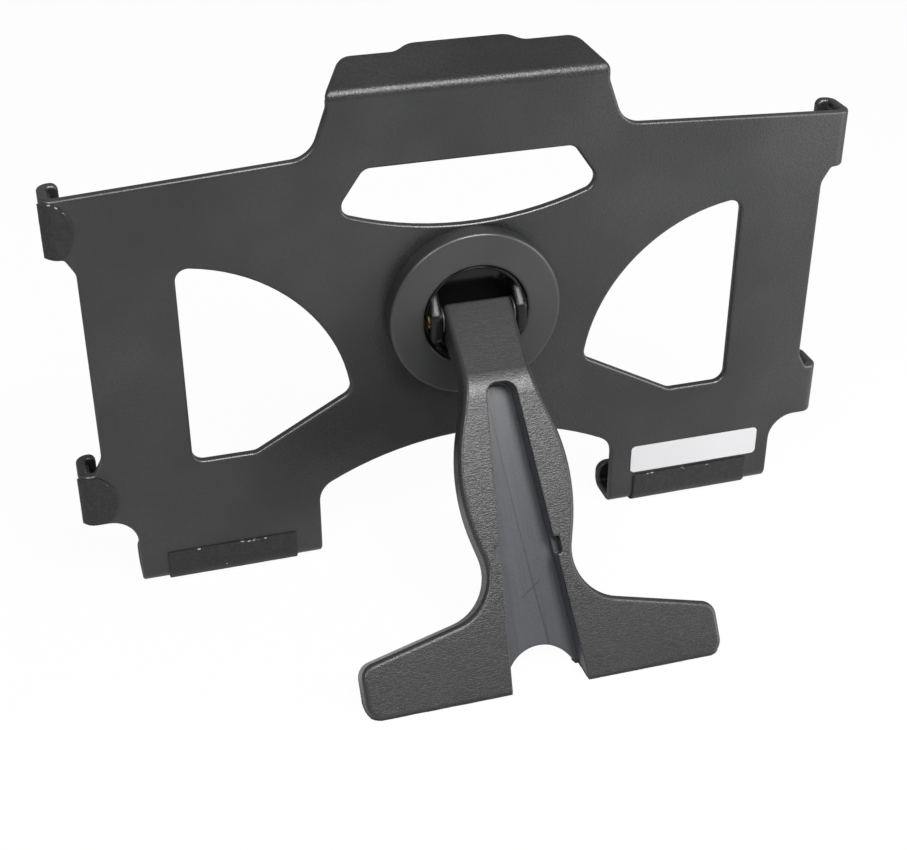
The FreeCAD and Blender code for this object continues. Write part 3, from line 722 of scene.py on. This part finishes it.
def make_label_film():
    """The blank label: white film with the faint tooth of thermal paper."""
    material, tree, shader, place = new_finish("label_film", Specular_IOR_Level=0.4)
    grain = effect(tree, fine_grain, Vector=place, Scale=3000.0)
    tree.links.new(tint(tree, grain["Cloud"], film_dark, film_pale), shader["Base Color"])
    tree.links.new(spread(tree, grain["Height"], *grain_span, *film_roughness), shader["Roughness"])
    raise_bump(tree, shader, grain["Height"], strength=0.06, distance=0.05 * mm, rounding=0.1 * mm)
    return material


finishes["label_paper"] = make_label_film()
print("finish", finishes["label_paper"].name)

# %% [markdown]
# ### Screws, nut and washers
# The screws are steel, the pivot's nut is brass and the washers are nylon. Four screw heads show on
# the tablet's side, and a glint of brass between the ears. At that size the shared grain and rubbed
# edges say enough, so these finishes need no pattern of their own.

# %% Metals and nylon
metal_roughness = (0.22, 0.42)
nylon_dark = (0.03, 0.03, 0.03)
nylon_pale = (0.05, 0.05, 0.05)
nylon_roughness = (0.32, 0.45)


def make_metal(name, colour, bright):
    """Plain metal with an uneven polish and brighter edges."""
    material, tree, shader, place = new_finish(name, Metallic=1.0)
    grain = effect(tree, fine_grain, Vector=place, Scale=2200.0)
    wear = effect(tree, rubbed_edge, Vector=place, Radius=0.25 * mm)["Mask"]
    tree.links.new(tint(tree, wear, colour, bright), shader["Base Color"])
    tree.links.new(spread(tree, grain["Height"], *grain_span, *metal_roughness), shader["Roughness"])
    raise_bump(tree, shader, grain["Height"], strength=0.15, distance=0.05 * mm, rounding=0.2 * mm)
    return material


def make_nylon():
    """The washers: waxy black nylon."""
    material, tree, shader, place = new_finish("nylon", Specular_IOR_Level=0.45)
    grain = effect(tree, fine_grain, Vector=place, Scale=1800.0)
    tree.links.new(tint(tree, grain["Cloud"], nylon_dark, nylon_pale), shader["Base Color"])
    tree.links.new(spread(tree, grain["Height"], *grain_span, *nylon_roughness), shader["Roughness"])
    raise_bump(tree, shader, grain["Height"], strength=0.1, distance=0.05 * mm, rounding=0.2 * mm)
    return material


finishes["screw_steel"] = make_metal("screw_steel", colour=(0.42, 0.42, 0.43), bright=(0.7, 0.7, 0.7))
finishes["brass"] = make_metal("brass", colour=(0.55, 0.38, 0.14), bright=(0.75, 0.56, 0.27))
finishes["nylon"] = make_nylon()
print("finishes", ", ".join(finishes))

# %% [markdown]
# ## Assigning the finishes
# The part's record gives each solid a slot, and the finishes above are kept by slot. Each solid's
# mesh drops the plain material it came with and takes its own.

# %% Assign the finishes
slot_of = {part["node"]: part["material_slot"] for part in frame["record"]["subparts"]}
for name, solid in nodes.items():
    solid.data.materials.clear()
    solid.data.materials.append(finishes[slot_of[name]])
print(len(finishes), "finishes on", len(nodes), "solids")

# %% [markdown]
# ## Felts, liners and foot pads
# The felts are strips cut from a sheet, glued on and folded round the hooks. Their solids are plain,
# so each is copied, its loose triangles merged, and remeshed in even small faces. Then every point is
# moved a little along its normal by two sizes of noise: a slow one for the uneven lie of the cloth
# and a quick one for the pile. A cloth simulation would add nothing here, since glue holds them.

# %% Even copy of a felt
merge_distance = 0.001 * mm
felt_voxel = 0.25 * mm


def even_copy(node, name):
    """A felt's solid again as an object of its own, with small even faces and soft edges."""
    shape = bmesh.new()
    shape.from_mesh(nodes[node].data)
    bmesh.ops.remove_doubles(shape, verts=shape.verts, dist=merge_distance)
    rough = bpy.data.meshes.new(name + "_rough")
    shape.to_mesh(rough)
    shape.free()
    piece = bpy.data.objects.new(name, rough)
    bpy.context.scene.collection.objects.link(piece)
    remesh = piece.modifiers.new("even", "REMESH")
    remesh.mode = "VOXEL"
    remesh.voxel_size = felt_voxel
    smooth = piece.modifiers.new("soft", "SMOOTH")
    smooth.factor = 0.5
    smooth.iterations = 3
    seen = bpy.context.evaluated_depsgraph_get()
    cloth = bpy.data.meshes.new_from_object(piece.evaluated_get(seen))
    piece.modifiers.clear()
    piece.data = cloth
    cloth.name = name
    return piece


print("felts get faces of", felt_voxel / mm, "mm")

# %% Soft piece from a felt
pile_height = 0.04 * mm
lie_height = 0.07 * mm
pile_waves = 1500.0
lie_waves = 170.0


def soften(node, name):
    """A soft piece in the place of a felt's plain solid."""
    piece = even_copy(node, name)
    cloth = piece.data
    moves = []
    for vertex in cloth.vertices:
        pile = pile_height * noise.noise(vertex.co * pile_waves)
        lie = lie_height * noise.noise(vertex.co * lie_waves)
        moves.append(vertex.co + vertex.normal * (pile + lie))
    for vertex, spot in zip(cloth.vertices, moves):
        vertex.co = spot
    cloth.shade_smooth()
    cloth.materials.clear()
    cloth.materials.append(finishes[slot_of[node]])
    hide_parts(node)
    print(name, len(cloth.polygons), "faces")
    return piece


# %% [markdown]
# ### Folded felts
# Each of these lies on the rear of the sheet and goes round its hook. Each is softened as above and
# attached to the holder.

# %% Folded felts
for node in ("felt_bottom_left", "felt_bottom_right", "felt_upper_left", "felt_lower_left"):
    felt = soften(node, node.replace("felt", "felt_wrap"))
    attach(felt, "holder")

# %% [markdown]
# ### Liners and foot pads
# The liners sit inside the hooks and the pads under the leg's two wings. They are short blocks of
# felt rather than folded strips, so they are softened in the same way but keep their fill.

# %% Liners and pads
for node in sorted(nodes):
    if node.startswith("liner"):
        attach(soften(node, node.replace("liner", "felt_liner")), "holder")
    if node.startswith("foot_pad"):
        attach(soften(node, node.replace("foot_pad", "felt_foot")), "leg")
